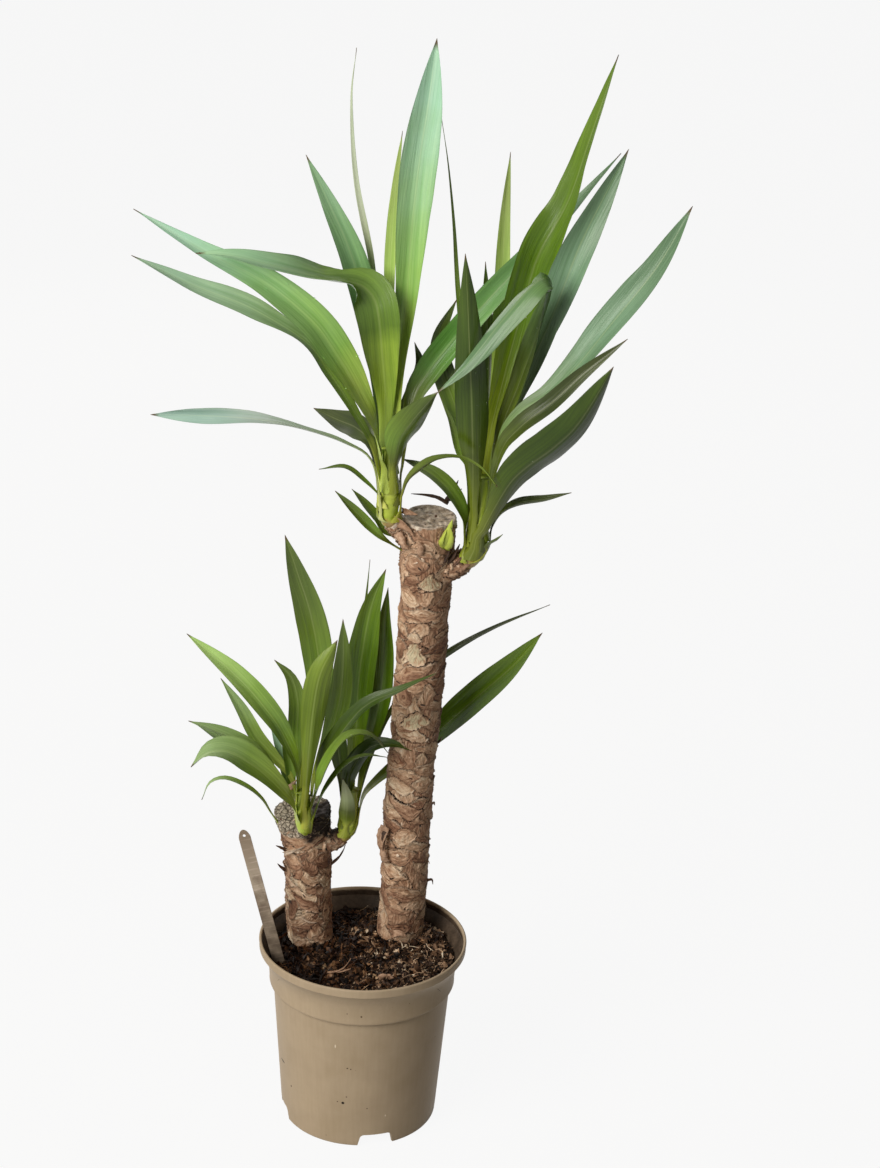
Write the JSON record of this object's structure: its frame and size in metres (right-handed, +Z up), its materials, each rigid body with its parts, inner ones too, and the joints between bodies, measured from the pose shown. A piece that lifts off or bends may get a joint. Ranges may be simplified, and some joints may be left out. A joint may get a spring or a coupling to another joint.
{
  "type": "potted yucca plant",
  "caption": "Potted yucca with cut canes and leafy crowns, rooted in a round nursery pot that holds soil and a blank plant label.",
  "frame": {"origin": "on the pot's axis, at the underside of its centre foot, which is level with the foot ring", "axes": "+Z up along the pot's axis; -Y towards the front, where the label is at the left (-X) and the tall cane at the right (+X)"},
  "size_m": [0.4094, 0.17, 0.8978],
  "materials": {
    "taupe_plastic": "satin",
    "potting_soil": "matte",
    "grey_plastic": "satin",
    "cane_bark": "matte",
    "crown_stem": "satin",
    "leaf_green": "satin"
  },
  "bodies": {
    "root": {"plant_label": "grey_plastic", "pot": "taupe_plastic", "short_cane": "cane_bark", "short_cane_leaf_1": "leaf_green", "short_left_crown": "crown_stem", "short_left_leaf_1": "leaf_green", "short_left_leaf_10": "leaf_green", "short_left_leaf_11": "leaf_green", "short_left_leaf_12": "leaf_green", "short_left_leaf_2": "leaf_green", "short_left_leaf_3": "leaf_green", "short_left_leaf_4": "leaf_green", "short_left_leaf_5": "leaf_green", "short_left_leaf_6": "leaf_green", "short_left_leaf_7": "leaf_green", "short_left_leaf_8": "leaf_green", "short_left_leaf_9": "leaf_green", "short_right_crown": "crown_stem", "short_right_leaf_1": "leaf_green", "short_right_leaf_2": "leaf_green", "short_right_leaf_3": "leaf_green", "short_right_leaf_4": "leaf_green", "short_right_leaf_5": "leaf_green", "short_right_leaf_6": "leaf_green", "soil": "potting_soil", "tall_cane": "cane_bark", "tall_cane_leaf_1": "leaf_green", "tall_cane_leaf_2": "leaf_green", "tall_left_crown": "crown_stem", "tall_left_leaf_1": "leaf_green", "tall_left_leaf_10": "leaf_green", "tall_left_leaf_11": "leaf_green", "tall_left_leaf_12": "leaf_green", "tall_left_leaf_13": "leaf_green", "tall_left_leaf_14": "leaf_green", "tall_left_leaf_2": "leaf_green", "tall_left_leaf_3": "leaf_green", "tall_left_leaf_4": "leaf_green", "tall_left_leaf_5": "leaf_green", "tall_left_leaf_6": "leaf_green", "tall_left_leaf_7": "leaf_green", "tall_left_leaf_8": "leaf_green", "tall_left_leaf_9": "leaf_green", "tall_right_crown": "crown_stem", "tall_right_leaf_1": "leaf_green", "tall_right_leaf_10": "leaf_green", "tall_right_leaf_11": "leaf_green", "tall_right_leaf_12": "leaf_green", "tall_right_leaf_13": "leaf_green", "tall_right_leaf_14": "leaf_green", "tall_right_leaf_15": "leaf_green", "tall_right_leaf_2": "leaf_green", "tall_right_leaf_3": "leaf_green", "tall_right_leaf_4": "leaf_green", "tall_right_leaf_5": "leaf_green", "tall_right_leaf_6": "leaf_green", "tall_right_leaf_7": "leaf_green", "tall_right_leaf_8": "leaf_green", "tall_right_leaf_9": "leaf_green"}
  },
  "joints": []
}
